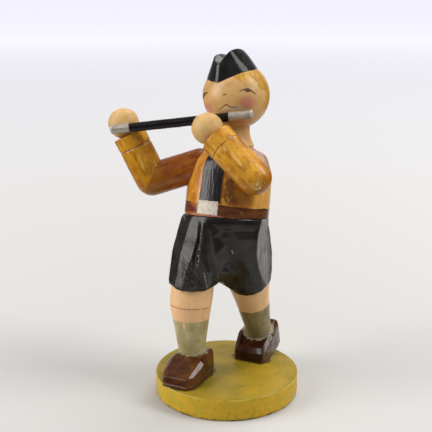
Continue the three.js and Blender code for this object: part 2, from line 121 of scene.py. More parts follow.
class Field:
    """A number that changes over a surface, and takes part in sums as a plain number does"""

    def __init__(self, tree, socket):
        self.tree = tree
        self.socket = socket

    def maths(self, operation, *others):
        step = add_node(self.tree, "Math", dict(enumerate((self, *others))), operation=operation)
        return Field(self.tree, step.outputs[0])

    def __add__(self, other):
        return self.maths("ADD", other)

    def __sub__(self, other):
        return self.maths("SUBTRACT", other)

    def __mul__(self, other):
        return self.maths("MULTIPLY", other)

    def rest(self):
        """What is left of 1"""
        return self * -1 + 1

    def size(self):
        return self.maths("ABSOLUTE")

    def least(self, other):
        return self.maths("MINIMUM", other)

    def most(self, other):
        return self.maths("MAXIMUM", other)

    def rise(self, low, high, step="SMOOTHSTEP"):
        """0 below the low value, 1 above the high one, and a soft or even step between"""
        limits = {"Value": self, "From Min": low, "From Max": high}
        return Field(self.tree, add_node(self.tree, "MapRange", limits, interpolation_type=step).outputs[0])

    def between(self, low, high, edge):
        """1 between two values and 0 outside them, with edges of a given softness"""
        return self.rise(low - edge, low + edge) * self.rise(high + edge, high - edge)


def length_of(*gaps):
    """The straight length of a gap, from its parts along the axes"""
    total = gaps[0] * gaps[0]
    for gap in gaps[1:]:
        total = total + gap * gap
    return total.maths("SQRT")


def parts_of(tree, vector):
    """The x, y and z of a vector"""
    return [Field(tree, part) for part in add_node(tree, "SeparateXYZ", {0: vector}).outputs]


def blended(tree, below, above, amount):
    """One colour laid over another by an amount"""
    return add_node(tree, "Mix", {0: amount, 6: below, 7: above}, data_type="RGBA").outputs[2]


def as_seen(tree, beside):
    """1 for camera rays, and for glossy and transmission rays that go to the backdrop or paper"""
    rays = add_node(tree, "LightPath").outputs
    mirrored = Field(tree, rays["Is Glossy Ray"]).most(rays["Is Transmission Ray"])
    return Field(tree, rays["Is Camera Ray"]).most(mirrored * beside)


world = bpy.data.worlds.new("studio")
world.use_nodes = True
bpy.context.scene.world = world
sky = world.node_tree
sky.nodes.clear()
sky_x, sky_y, sky_z = parts_of(sky, add_node(sky, "TexCoord").outputs["Generated"])
room = add_node(sky, "Background", {"Strength": sky_z.rise(0, 1, "LINEAR") * 0.32 + 0.24})
backdrop = add_node(sky, "Background", {"Color": backdrop_colour})
behind = (sky_y * cos(camera_azimuth) - sky_x * sin(camera_azimuth)).rise(0.8, 0.95, "LINEAR")
pick = add_node(sky, "MixShader", {0: as_seen(sky, behind), 1: room, 2: backdrop})
add_node(sky, "OutputWorld", {0: pick})

floor_shape = bmesh.new()
bmesh.ops.create_circle(floor_shape, cap_ends=True, segments=96, radius=floor_reach)
floor = add_object("floor", mesh_of("floor", floor_shape))
floor_shape.free()

# A sheet of paper starts before the figure and runs away behind it. Camera rays see a pale floor
# everywhere, and it glows towards the white of the backdrop.
floor_paper = bpy.data.materials.new("floor_paper")
floor_paper.use_nodes = True
paper = floor_paper.node_tree
paper.nodes.clear()
paper_x, paper_y = parts_of(paper, add_node(paper, "TexCoord").outputs["Object"])[:2]
aside = paper_x * cos(camera_azimuth) + paper_y * sin(camera_azimuth)
nearer = paper_x * sin(camera_azimuth) - paper_y * cos(camera_azimuth)
strip = aside.size().rise(0.14, 0.08, "LINEAR") * nearer.rise(0.2, 0.14, "LINEAR")
seen = as_seen(paper, strip)
glow_colour = blended(paper, black, floor_glow, length_of(paper_x, paper_y).rise(0.07, 1.25, "LINEAR"))
glow = add_node(paper, "Emission", {"Color": glow_colour, "Strength": seen})
sheet = add_node(paper, "BsdfDiffuse", {"Color": blended(paper, dark_floor, paper_tint, seen.most(strip))})
add_node(paper, "OutputMaterial", {0: add_node(paper, "AddShader", {0: glow, 1: sheet})})
floor.data.materials.append(floor_paper)

# Base: a beech disc turned on the lathe and painted ochre green. The brush went round on its
# top, the edges are rubbed, and the paint has dark pits near the foot and beside the front shoe.
base_radius = 21
base_thickness = 6.6
base_edge_round = 0.55
facet_angle = radians(40)


def eased(outline, ease, spacing=0.9):
    """An outline with its corners eased, and no two points further apart than the spacing"""
    corners = [Vector(point) for point in outline]
    soft = [corners[0]]
    for before, corner, after in zip(corners, corners[1:], corners[2:]):
        start = corner + (before - corner).normalized() * min(ease, (before - corner).length / 2.02)
        end = corner + (after - corner).normalized() * min(ease, (after - corner).length / 2.02)
        for step in range(6):
            share = step / 5
            soft.append(start.lerp(corner, share).lerp(corner.lerp(end, share), share))
    soft.append(corners[-1])
    fine = [soft[0]]
    for here, there in zip(soft, soft[1:]):
        count = max(1, ceil((there - here).length / spacing))
        fine += [here.lerp(there, (step + 1) / count) for step in range(count)]
    return fine


def lofted(shape, rings):
    """Adds a closed skin over rings of points, of which the first and last may be single poles"""
    placed = [[shape.verts.new(point) for point in ring] for ring in rings]
    count = max(len(ring) for ring in rings)
    for lower, upper in zip(placed, placed[1:]):
        for step in range(count):
            after = (step + 1) % count
            corners = [lower[step % len(lower)], lower[after % len(lower)]]
            corners += [upper[after % len(upper)], upper[step % len(upper)]]
            shape.faces.new(list(dict.fromkeys(corners)))
    for end in (placed[0][::-1], placed[-1]):
        if len(end) > 1:
            shape.faces.new(end)


def circle(place, radius, height, count):
    """Evenly spaced points round an axis"""
    angles = [2 * pi * step / count for step in range(count)]
    return [place @ Vector((radius * cos(angle), radius * sin(angle), height)) for angle in angles]


def turned(outline, place=Matrix(), around=112):
    """A lathe-turned solid: the outline runs up from pole to pole as radius and height"""
    shape = bmesh.new()
    lofted(shape, [circle(place, radius, height, around if radius else 1) for radius, height in outline])
    return shape


def make_uneven(shape, depth, size, seed=0.0):
    """The slight unevenness that hand tools and thick paint leave on a surface"""
    shape.normal_update()
    shift = Vector((seed, seed * 0.7, -seed))
    for vertex in shape.verts:
        vertex.co += vertex.normal * depth * noise.noise(vertex.co / size + shift)


def add_piece(name, shape, finish, slot, *nodes):
    """Brings a shape made in millimetres into the frame, where it stands for construction nodes"""
    mesh = mesh_of(name, shape)
    shape.free()
    mesh.transform(Matrix.Scale(mm, 4))
    mesh.materials.append(finish)
    mesh.shade_smooth()
    mesh.set_sharp_from_angle(angle=facet_angle)
    piece = add_object(name, mesh)
    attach(piece, "root")
    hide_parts(*nodes)


def tone(code):
    """A paint colour, from its red, green and blue as two hexadecimal digits each"""
    channels = [int(code[i : i + 2], 16) / 255 for i in (0, 2, 4)]
    light = [c / 12.92 if c <= 0.04045 else ((c + 0.055) / 1.055) ** 2.4 for c in channels]
    return (*light, 1)


class Finish:
    """The paint on one piece, laid out in millimetres in the frame in which it was made"""

    def __init__(self, name, place=Matrix()):
        self.material = bpy.data.materials.new(name)
        self.material.use_nodes = True
        self.tree = self.material.node_tree
        self.tree.nodes.clear()
        self.draws = 0
        to_piece = {"Location": place.to_translation() * mm, "Rotation": place.to_euler(), "Scale": (mm,) * 3}
        to_piece["Vector"] = add_node(self.tree, "TexCoord").outputs["Object"]
        self.spot = add_node(self.tree, "Mapping", to_piece, vector_type="TEXTURE").outputs[0]
        self.x, self.y, self.z = parts_of(self.tree, self.spot)
        self.reach = length_of(self.x, self.y)
        # Degrees round the piece's axis, 0 at its own -Y and growing towards +X
        self.round = self.x.maths("ARCTAN2", self.y * -1) * (180 / pi)

    def vector(self, *parts):
        return add_node(self.tree, "CombineXYZ", dict(enumerate(parts))).outputs[0]

    def pattern(self, kind, shift, scale, spot=None, **inputs):
        """A texture with a place of its own, because each one drawn is shifted on from the last"""
        self.draws += 1
        place = {"Location": [part * self.draws for part in shift], "Scale": scale}
        moved = add_node(self.tree, "Mapping", {"Vector": spot or self.spot, **place})
        return add_node(self.tree, kind, {"Vector": moved, "Scale": 1, **inputs})

    def mottle(self, size, stretch=(1, 1, 1), detail=2.0, spot=None):
        """A cloudy pattern from 0 to 1, with clouds of a size in millimetres"""
        scale = [1 / (size * share) for share in stretch]
        cloud = self.pattern("TexNoise", (7.3, 3.1, 0), scale, spot, Detail=detail)
        return Field(self.tree, cloud.outputs[0])

    def specks(self, spacing, share, radius):
        """Scattered dots: a cell pattern of a spacing in millimetres, of which a share has one"""
        cells = self.pattern("TexVoronoi", (5.7, 0, 9.1), (1 / spacing,) * 3).outputs
        chance = add_node(self.tree, "SeparateColor", {0: cells["Color"]}).outputs[0]
        near = Field(self.tree, cells["Distance"]).rise(radius, radius * 0.6)
        return Field(self.tree, chance).rise(share, share - 0.01) * near

    def edges(self, low, high):
        """1 on the ridges of a piece and 0 on its flats"""
        return Field(self.tree, add_node(self.tree, "NewGeometry").outputs["Pointiness"]).rise(low, high)

    def over(self, below, above, amount):
        """One colour, a code or mixed before, laid over another by an amount"""
        colours = [tone(colour) if isinstance(colour, str) else colour for colour in (below, above)]
        return blended(self.tree, *colours, amount)

    def ground(self, light, dark, amount):
        """The first coat, which changes between two tones"""
        self.colour = self.over(light, dark, amount)

    def coat(self, colour, amount):
        """One more coat over the others, where and as thick as the amount says"""
        self.colour = self.over(self.colour, colour, amount)

    def done(self, roughness, relief, gloss=0.5, metal=0):
        """The finished material: the relief is a height in millimetres"""
        surface = {"Base Color": self.colour, "Roughness": roughness, "Metallic": metal}
        surface["Specular IOR Level"] = gloss
        surface["Normal"] = add_node(self.tree, "Bump", {"Distance": mm, "Height": relief})
        add_node(self.tree, "OutputMaterial", {0: add_node(self.tree, "BsdfPrincipled", surface)})
        return self.material


base_outline = [
    (0, 0),
    (base_radius - 0.5, 0),
    (base_radius, 0.5),
    (base_radius, base_thickness - 0.3),
    (base_radius - 0.35, base_thickness),
    (0, base_thickness),
]
base_shape = turned(eased(base_outline, base_edge_round, 1.1), around=144)
make_uneven(base_shape, 0.09, 7)

ochre = Finish("base_paint")
bearing = ochre.round.maths("RADIANS")
swept = ochre.vector(
    ochre.reach * 0.9, bearing.maths("COSINE") * 3.2, bearing.maths("SINE") * 3.2 + ochre.z * 0.5
)
strokes = ochre.mottle(1.0, detail=4, spot=swept)
clouds = ochre.mottle(9, detail=3)
fine = ochre.mottle(0.9, detail=4)
top = ochre.z.rise(base_thickness - 0.5, base_thickness - 0.1)
ochre.ground("a38521", "7d701b", clouds.rise(0.35, 0.68))
ochre.coat("988024", strokes.rise(0.42, 0.66) * 0.7)
ochre.coat("c9a024", top.rest() * fine.rise(0.15, 0.55) * 0.8)
ochre.coat("a3962e", ochre.mottle(4, (1, 1, 0.6), 4).rise(0.48, 0.62) * top.rest() * 0.55)
pits = ochre.specks(1.3, 0.3, 0.24) * ochre.mottle(5).rise(0.46, 0.56)
pits = pits * (top.most(ochre.z.rise(1.6, 0.8)) * 0.93 + 0.07)
foot_grime = ochre.z.rise(1.3, 0.5) * ochre.mottle(2.2, (1, 1, 0.4)).rise(0.5, 0.57)
ochre.coat("3f3413", pits.most(foot_grime) * 0.85)
# A dark band painted close round each sole is partly dirt and partly painted shade where the
# shoe sits on the base, and a pale line of old glue lies just beyond it. Each sole is a box with
# cut corners, given by its middle point and its half widths
for sole_x, sole_y, half_x, half_y in ((-7.6, -10.2, 5.5, 8.8), (3.9, 9.6, 5.7, 2.7)):
    off_x = (ochre.x - sole_x).size()
    off_y = (ochre.y - sole_y).size()
    corner_gap = (off_x + off_y - (half_x + half_y - 1.9)) * 0.7
    gap = (off_x - half_x).most(off_y - half_y).most(corner_gap)
    gap = gap + fine * 0.8 - 0.4 + ochre.mottle(3.2) * 1.4 - 0.7
    ochre.coat("4d3c10", gap.rise(0.75, 0.3) * top * 0.8)
    glue = gap.between(0.8, 1.2, 0.2) * top * ochre.mottle(1.8).rise(0.52, 0.6)
    ochre.coat("c9b24a", glue * 0.35)
turning = ochre.mottle(0.35, detail=2, spot=ochre.vector(ochre.reach, ochre.z, 0))
rim = ochre.z.between(base_thickness - 0.45, base_thickness - 0.2, 0.1)
ochre.coat("d2bd6a", rim * ochre.mottle(2.5).rise(0.4, 0.6) * 0.5)
base_relief = strokes * 0.06 + turning * 0.012 + clouds * 0.12
base_finish = ochre.done(fine * 0.25 + 0.3, base_relief, gloss=0.2)
add_piece("base_turned", base_shape, base_finish, "base_paint", "base_disc")

# Shoes: two blocks of beech, whittled to flat facets and dipped in dark brown lacquer. Each is
# glued and pegged to the base, the right one flat and the left one with its heel in the air.
glue_gap = 0.25
shoe_width = 10
shoe_length = 17
shoe_height = 5.8
rear_shoe_length = 14.6
rear_shoe_height = 6.4
rear_heel_angle = radians(13)
rear_toe_flat = 0.45
ankle_height_share = 0.93
ankle_diameter = 8
ankle_sink = 0.9
upward = Vector((0, 0, 1))
right_toe = Vector((-7.6, -19, base_thickness))
left_toe = Vector((3.9, 7.2, base_thickness))
right_shoe_place = Matrix.Translation(right_toe)
heel_lift = Matrix.Rotation(rear_heel_angle, 4, "X")
left_shoe_place = Matrix.Translation(left_toe - upward * rear_toe_flat) @ heel_lift
right_ankle = right_shoe_place @ Vector((-1.1, shoe_length - 3.6, ankle_height_share * shoe_height))
right_ankle.z += glue_gap
left_ankle = left_shoe_place @ Vector((0.2, rear_shoe_length - 5.8, ankle_height_share * rear_shoe_height))
waist_place = Vector((-2.4, 4.6, base_thickness + 45.6))
right_hem = waist_place + Vector((-6.8, -8.3, -19.1))
left_hem = waist_place + Vector((5.5, 5, -22.6))
right_knee = right_ankle.lerp(right_hem, 0.708) + Vector((-0.4, -0.35, 0))


def beyond(point, other, distance):
    """The point that lies a distance beyond the first of two points, away from the second"""
    return point + (point - other).normalized() * distance


def seat(point, direction):
    """The matrix that seats a piece at a point with its +Z along a direction"""
    up = direction.normalized()
    back = Vector((0, 1, 0))
    back = (back - up * back.dot(up)).normalized()
    matrix = Matrix((back.cross(up), back, up)).transposed().to_4x4()
    matrix.translation = point
    return matrix


def keep_behind(shape, point, normal, ease=0.0):
    """Cuts a solid along a plane, keeps what lies behind it, closes the cut and eases its rim"""
    whole = [*shape.verts, *shape.edges, *shape.faces]
    bmesh.ops.bisect_plane(shape, geom=whole, dist=1e-5, plane_co=point, plane_no=normal, clear_outer=True)
    rim = [edge for edge in shape.edges if edge.is_boundary]
    if rim:
        bmesh.ops.contextual_create(shape, geom=rim)
    if rim and ease:
        bmesh.ops.bevel(
            shape, geom=rim, offset=ease, segments=2, profile=0.5, affect="EDGES", clamp_overlap=True
        )


def read_back(shape, *holders):
    """Reads a shape back from the first of its holders, as modified, and clears them away"""
    graph = bpy.context.evaluated_depsgraph_get()
    made = bpy.data.meshes.new_from_object(holders[0].evaluated_get(graph))
    shape.clear()
    shape.from_mesh(made)
    for mesh in (*(holder.data for holder in holders), made):
        bpy.data.meshes.remove(mesh)


def soften_carving(shape, grain, passes):
    """Gives a carved block the soft edges that paint and wear leave, as one fine skin"""
    bmesh.ops.triangulate(shape, faces=shape.faces)
    block = add_object("block", mesh_of("block", shape))
    skin = block.modifiers.new("skin", "REMESH")
    skin.mode = "VOXEL"
    skin.voxel_size = grain
    softening = block.modifiers.new("softening", "SMOOTH")
    softening.factor = 0.5
    softening.iterations = passes
    read_back(shape, block)


def cut_out(shape, tool):
    """Cuts a second closed solid out of the first, and lets it go"""
    holder, cutter = (add_object("part", mesh_of("part", part)) for part in (shape, tool))
    tool.free()
    cut = holder.modifiers.new("cut", "BOOLEAN")
    cut.operation = "DIFFERENCE"
    cut.solver = "EXACT"
    cut.object = cutter
    read_back(shape, holder, cutter)


def whittled_shoe(length, width, height, toe_share, toe_height, toe_slope):
    """A shoe along +Y with its toe at the origin, cut from a block by one knife plane at a time"""
    shape = bmesh.new()
    bmesh.ops.create_cube(shape, size=1)
    for vertex in shape.verts:
        vertex.co.x *= width
        vertex.co.y = (vertex.co.y + 0.5) * length
        vertex.co.z = (vertex.co.z + 0.5) * height
    vamp = (height - toe_height) / (0.46 * length)
    cuts = [
        ((0, 0, 0.4), (0, -1, toe_slope)),
        ((0, 0.05 * length, toe_height), (0, -vamp, 1)),
        ((0, 0.35, toe_height - 0.8), (0, -0.8, 1)),
        ((0, length, 0.55 * height), (0, 1, 0.12)),
    ]
    for side in (-1, 1):
        edge = side * width / 2
        cuts += [
            ((side * toe_share * width, 0, 0), (side, -0.62, 0.12)),
            ((edge, 0.28 * length, 0), (side, -0.16, 0.06)),
            ((edge, 0.72 * length, 0), (side, 0.14, 0.05)),
            ((side * 0.34 * width, length, 0), (side, 0.75, 0)),
            ((edge, 0.05 * length, toe_height - 1.3), (side * 0.8, -vamp * 1.1, 1)),
            ((edge, 0.7 * length, height - 1.4), (side * 0.8, 0.05, 1)),
        ]
    for point, normal in cuts:
        keep_behind(shape, point, normal)
    return shape


def lacquer(name, place, ankle, leg_top, dark, light, dust_and_sheen_amount):
    """Brown lacquer, worn to a lighter brown on the edges, with stocking paint run onto it"""
    paint = Finish(name, place)
    clouds = paint.mottle(4.5, detail=3)
    fine = paint.mottle(0.7, detail=3)
    paint.ground(dark, light, clouds.rise(0.4, 0.65))
    paint.coat("7a4a22", paint.edges(0.52, 0.6) * fine.rise(0.42, 0.62) * 0.55)
    welt = paint.z.between(0.75, 1.05, 0.1)
    paint.coat("6b4423", welt * 0.5)
    # Painted shade: the lacquer is darker along the very bottom, where the shoe sits on the base
    paint.coat("1a0e0a", paint.z.rise(0.35, 0.05) * 0.8)
    # Distance from the leg's axis, which slopes a little in the shoe's own frame
    foot = place.inverted() @ ankle
    lean = (place.inverted() @ leg_top - foot).normalized()
    off_x = paint.x - foot.x - (paint.z - foot.z) * (lean.x / lean.z)
    off_y = paint.y - foot.y - (paint.z - foot.z) * (lean.y / lean.z)
    away = length_of(off_x, off_y)
    drips = paint.mottle(1.1, detail=3)
    spilt = (away - drips * 3).rise(3.3, 3.0)
    paint.coat("8d8367", spilt * 0.9)
    crumbs = paint.specks(0.8, 0.42, 0.4) * (away - drips * 1.2).between(3.4, 4.3, 0.15)
    paint.coat("c3b690", crumbs * 0.7)
    # The outer side is painted a dull grey, partly dust and partly a painted reflection of the softbox
    dust_and_sheen = paint.x.rise(4.3, 5.0) * paint.mottle(0.9, (1, 3, 1), 3).rise(0.2, 0.7)
    paint.coat("7d6b5e", dust_and_sheen * dust_and_sheen_amount)
    relief = clouds * 0.08 + fine * 0.02 - welt * 0.07 + spilt * 0.04 + crumbs * 0.06
    return paint.done(fine * 0.1 + 0.08 + spilt * 0.3, relief, gloss=0.35)


right_foot = beyond(right_ankle, right_knee, ankle_sink)
left_foot = beyond(left_ankle, left_hem, ankle_sink)
right_block = (shoe_length + 0.4, shoe_width + 0.9, shoe_height + 0.6, 0.34, 3.3, 0.3)
left_block = (rear_shoe_length + 0.3, shoe_width + 1.1, rear_shoe_height + 0.6, 0.4, 3.9, 0.2)
for side, block, place, foot, ankle, leg_top, dark, light, dust_and_sheen_amount in (
    ("right", right_block, right_shoe_place, right_foot, right_ankle, right_knee, "3a1c08", "5a320b", 0.1),
    ("left", left_block, left_shoe_place, left_foot, left_ankle, left_hem, "2a140b", "401f0c", 0.5),
):
    shape = whittled_shoe(*block)
    bmesh.ops.transform(shape, matrix=place, verts=shape.verts)
    if side == "left":
        keep_behind(shape, left_toe, -upward)
    along = beyond(ankle, leg_top, -3) - foot
    radius = (ankle_diameter - 0.2) / 2
    socket = [(0, 0), (radius, 0), (radius, along.length), (0, along.length)]
    cut_out(shape, turned(socket, seat(foot, along), 48))
    soften_carving(shape, 0.16, 3)
    make_uneven(shape, 0.06, 2.6, 3.0)
    finish = lacquer(f"{side}_shoe_lacquer", place, ankle, leg_top, dark, light, dust_and_sheen_amount)
    add_piece(f"{side}_shoe_carved", shape, finish, "shoe_paint", f"{side}_shoe")

# Legs: turned beech in flesh paint, with grey green stockings painted on. The right leg is glued
# and dowelled at the knee, where the seam shows; the left one is a single turning.
knee_diameter = 12.3
thigh_diameter = 12.4
stocking_top_diameter = 10.6
left_leg_diameter = 12.9
left_stocking_top_diameter = 10.5
seam = 0.03
in_shorts = 3.5
knee_ease = 0.12
right_knit = ("b5a87c", "8e814f")
# The left stocking's tones are the right one's painted darker, as painted shade on the leg behind
left_knit_in_shade = ("8e8159", "6b5f38")
thigh_axis = (right_hem - right_knee).normalized()
knee_plane = (thigh_axis + (right_knee - right_ankle).normalized()).normalized()


def add_leg(node, slot, foot, top, profile, cuts, place, stocking_top, drop_angle, knit=right_knit):
    """A leg piece between two points: the profile gives diameters and shares of the way up. It has
    flesh paint above the stocking's top edge and stocking paint below it, both brushed round."""
    along = (top - foot).length
    outline = [(0, 0), *((diameter / 2, share * along) for diameter, share in profile), (0, along)]
    shape = turned(eased(outline, 0.35, 0.8), seat(foot, top - foot), 96)
    for cut in cuts:
        keep_behind(shape, *cut)
    make_uneven(shape, 0.07, 4)

    paint = Finish(node.removeprefix("right_") + "_paint", place)
    turns = paint.mottle(0.5, (4, 4, 0.35), 3)
    clouds = paint.mottle(4, (1, 1, 1.6), 3)
    flesh = paint.over("e0b380", "cf9f6a", clouds.rise(0.38, 0.7) * 0.8)
    flesh = paint.over(flesh, "e4bd90", turns.rise(0.45, 0.68) * 0.5)
    paint.ground(*knit, clouds.rise(0.35, 0.65))
    paint.coat("ada07c", turns.rise(0.5, 0.7) * 0.4)
    edge = paint.z - stocking_top - paint.mottle(2.5, (1, 1, 5)) * 0.8 + 0.4
    drop = (paint.round - drop_angle).size().rise(4.5, 2.0) * edge.rise(-1.9, -1.6)
    paint.coat(flesh, edge.rise(-0.12, 0.12).most(drop))
    paint.coat("b9a07a", edge.between(-0.12, 0.18, 0.12) * 0.4)
    # Painted shade: each leg piece is darker at its lower end, where the stocking goes into the shoe
    paint.coat("5b5135", paint.z.rise(2.6, 0.8) * paint.mottle(0.8, detail=3).rise(0.4, 0.7) * 0.7)
    if node == "right_calf":
        knee = place.inverted() @ right_knee
        up = place.to_3x3().inverted() @ knee_plane
        below_knee = (paint.x * up.x + paint.y * up.y + (paint.z - knee.z) * up.z) * -1
        dots = paint.mottle(0.9, (1, 1, 3), 2).rise(0.43, 0.5)
        paint.coat("7a4a22", below_knee.rise(0.42, 0.2) * dots * 0.6)
    relief = turns * 0.05 + clouds * 0.06 + edge.rise(-0.15, 0.15) * 0.03
    add_piece(f"{node}_turned", shape, paint.done(paint.mottle(2) * 0.2 + 0.3, relief), slot, node)


add_leg(
    "right_calf",
    "stocking_paint",
    right_foot,
    beyond(right_knee, right_ankle, 2),
    ((ankle_diameter, 0), (ankle_diameter, 0.14), (stocking_top_diameter, 0.62), (knee_diameter, 0.88),
     (knee_diameter, 1)),
    ((right_knee - knee_plane * seam, knee_plane, knee_ease),),
    seat(right_foot, right_knee - right_foot),
    0.732 * (right_knee - right_foot).length,
    4,
)
add_leg(
    "right_thigh",
    "skin_paint",
    beyond(right_knee, right_hem, 2),
    beyond(right_hem, right_knee, 6),
    ((knee_diameter, 0), (thigh_diameter, 0.5), (thigh_diameter, 1)),
    ((right_knee + knee_plane * seam, -knee_plane, knee_ease), (right_hem + upward * in_shorts, upward)),
    seat(right_knee - thigh_axis * 10, thigh_axis),
    1,
    0,
)
add_leg(
    "left_leg",
    "stocking_paint",
    left_foot,
    beyond(left_hem, left_ankle, 6),
    ((ankle_diameter, 0), (ankle_diameter, 0.16), (left_stocking_top_diameter, 0.6),
     (left_leg_diameter, 0.88), (left_leg_diameter, 1)),
    ((left_hem + upward * in_shorts, upward),),
    seat(left_foot, left_hem - left_foot),
    0.648 * (left_hem - left_foot).length,
    120,
    left_knit_in_shade,
)

# Shorts: one block of lime carved with a knife into long facets, round at the waist and at both
# hems, in gloss black paint. The sharpest pleat is chipped to the ground coat.
torso_lean = radians(13.5)
torso_axis = Vector((0, sin(torso_lean), cos(torso_lean)))
waist_up = (torso_axis - Vector((0.038, 0.018, 0))).normalized()
waist_radius = 12.6
hem_radius = 7.1
hip_radius = (hem_radius + waist_radius) / 2 + 0.65
hem_ease = 0.55
waist_ease = 0.3
carving_grain = 0.2
knife_point = Vector((-8.06, -6.27, 54.39))
knife_turn = radians(16.5)
knife_tilt = radians(14.5)
chipped_tone = "c8c2b6"

# The creases of each leg: degrees round the leg at each level from the hem up to the waist, how
# far the crease stands out there in tenths of a millimetre, and how far it lifts at the hem
levels = (0, 0.06, 0.27, 0.5, 0.75, 0.94, 1)
right_creases = [
    ((-141, -143, -148, -150, -152, -155, -155), (6, 6, 5, 3, 3, 2, 1), 0.4),
    ((-104, -107, -112, -115, -116, -116, -117), (12, 9, 3, -2, -1, -1, 1), 0.3),
    ((-86, -89, -94, -92, -95, -103, -106), (16, 12, 4, -2, -2, -3, -2), 0.1),
    ((-66, -69, -78, -88, -92, -101, -104), (8, 8, -3, -13, -13, -10, -3), -0.2),
    ((-32, -35, -54, -79, -88, -97, -100), (4, 4, 6, 5, 2, 0, 0), -0.5),
    ((-21, -23, -42, -67, -82, -94, -96), (0, -1, -7, -7, -4, 0, 0), -0.3),
    ((5, 0, -30, -57, -74, -87, -90), (9, 7, 2, 0, 0, 0, 0), 0.2),
    ((30, 27, 10, -15, -40, -55, -60), (0, 0, -4, -14, -16, -6, -2), 1.2),
    ((62, 62, 50, 35, 10, -10, -20), (0, 0, 0, -10, -14, -6, -2), 1.5),
    ((100, 100, 95, 85, 60, 45, 40), (0,) * 7, 1.2),
    ((135, 135, 135, 130, 120, 105, 100), (0,) * 7, 1.0),
    ((172, 172, 172, 172, 168, 162, 160), (0,) * 7, 0.8),
]
left_creases = [
    ((-140, -142, -147, -145, -135, -130, -130), (0, 0, 0, 0, 0, -2, -2), 0.7),
    ((-110, -110, -104, -98, -100, -102, -102), (3, 3, 0, 3, 10, 0, -2), -0.25),
    ((-92, -90, -78, -90, -85, -85, -88), (3, 3, 3, 6, 14, 0, -2), -0.6),
    ((-75, -72, -65, -72, -72, -73, -75), (3, 2, 0, 1, 9, -3, -6), -0.6),
    ((-55, -53, -52, -55, -58, -60, -60), (3, 2, 2, 6, 12, -1, -3), -0.3),
    ((-36, -32, -32, -36, -28, -15, -8), (3, 2, 1, 3, 4, -1, -3), 0.5),
    ((-6, 4, 14, 14, 18, 22, 26), (0, -2, -3, -4, -4, -5, -5), 2.2),
    ((50, 50, 50, 52, 55, 58, 58), (-4, -4, -1, 0, 0, -2, -2), 2.4),
    ((90,) * 7, (-4, -3, 0, 0, 0, 0, 0), 2.0),
    ((130,) * 7, (-3, -1, 0, 0, 0, 0, 0), 1.5),
    ((168,) * 7, (0,) * 7, 1.2),
]
leg_rings = []
shorts_shape = bmesh.new()
for hem, creases in ((right_hem, right_creases), (left_hem, left_creases)):
    rings = []
    for level, share in enumerate(levels):
        if share <= 0.5:
            radius = hem_radius + (hip_radius - hem_radius) * max(0, share - 0.05) / 0.45
        else:
            radius = hip_radius + (waist_radius - hip_radius) * (share - 0.5) / 0.5
        radius -= {0: hem_ease, 1: waist_ease}.get(share, 0)
        level_place = seat(hem.lerp(waist_place, share), upward.lerp(waist_up, share).normalized())
        ring = []
        for way, out, lift in creases:
            angle = radians(way[level])
            reach = radius + out[level] / 10
            height = lift * max(0, 1 - share / 0.3)
            ring.append(level_place @ Vector((reach * cos(angle), reach * sin(angle), height)))
        rings.append(ring)
    lofted(shorts_shape, rings)
    leg_rings.append(rings)
right_rings, left_rings = leg_rings

# Between the legs the front is one hollow panel, from the right leg's sixth pleat to the left
# leg's second one. Its lower edge is an arch.
panel_rings = []
for level in (1, 2, 3, 4):
    right_side = right_rings[level][6]
    left_side = left_rings[level][2]
    ring = []
    if level == 1:
        for share, height in ((0, 1.3), (0.42, 0.3), (0.7, -1.1), (1, -2.7)):
            ring.append(right_side.lerp(left_rings[1][1], share))
            ring[-1].z = right_hem.z + height
    else:
        for share, hollow in ((0, 0), (0.3, 0.6), (0.55, 0.8), (0.8, 0.5)):
            ring.append(right_side.lerp(left_side, share) + Vector((-0.42, 0.9, 0)) * hollow)
    inner_right, inner_left = (rings[level + 1][0].lerp(rings[level + 1][6], 0.5) for rings in leg_rings)
    panel_rings.append([inner_right, *ring, left_side, inner_left])
lofted(shorts_shape, panel_rings)
crotch = right_hem.lerp(left_hem, 0.5)
crotch.z = max(right_hem.z, left_hem.z) + 1.2
seat_rings = []
for share, width in ((0, 0.5), (0.12, 0.55), (0.5, 0.8), (0.8, 1)):
    level_place = Matrix.Translation(crotch.lerp(waist_place, share))
    seat_rings.append(circle(level_place, hem_radius * width, 0, 12))
lofted(shorts_shape, seat_rings)
band_rings = []
for drop, radius in ((3.2, 11.9), (1.6, 12.35), (waist_ease, 12.4), (0, 12.15)):
    band_rings.append(circle(seat(waist_place - waist_up * drop, waist_up), radius, 0, 72))
lofted(shorts_shape, band_rings)
soften_carving(shorts_shape, carving_grain, 5)
across = Vector((-sin(knife_turn), -cos(knife_turn), 0))
keep_behind(shorts_shape, knife_point, across * cos(knife_tilt) + upward * sin(knife_tilt))
soften_carving(shorts_shape, carving_grain, 8)
make_uneven(shorts_shape, 0.1, 3.4, 1.0)

gloss_black = Finish("shorts_black")
height = gloss_black.z
clouds = gloss_black.mottle(5, detail=3)
strokes = gloss_black.mottle(0.55, (1, 1, 7), 3)
fine = gloss_black.mottle(0.5, detail=3)
gloss_black.ground("151110", "27221f", clouds.rise(0.35, 0.7))
in_front = gloss_black.y.rise(-6, -7)
pleat = (gloss_black.x + 4.3).size().rise(0.5, 0.15) * height.between(40.8, 50, 0.8) * in_front
chips = gloss_black.mottle(0.38, (1, 1, 1.4), 2).rise(0.56, 0.6)
gloss_black.coat(chipped_tone, pleat * chips * 0.9)
gloss_black.coat("5c5650", gloss_black.edges(0.53, 0.62) * fine.rise(0.5, 0.62) * 0.35)
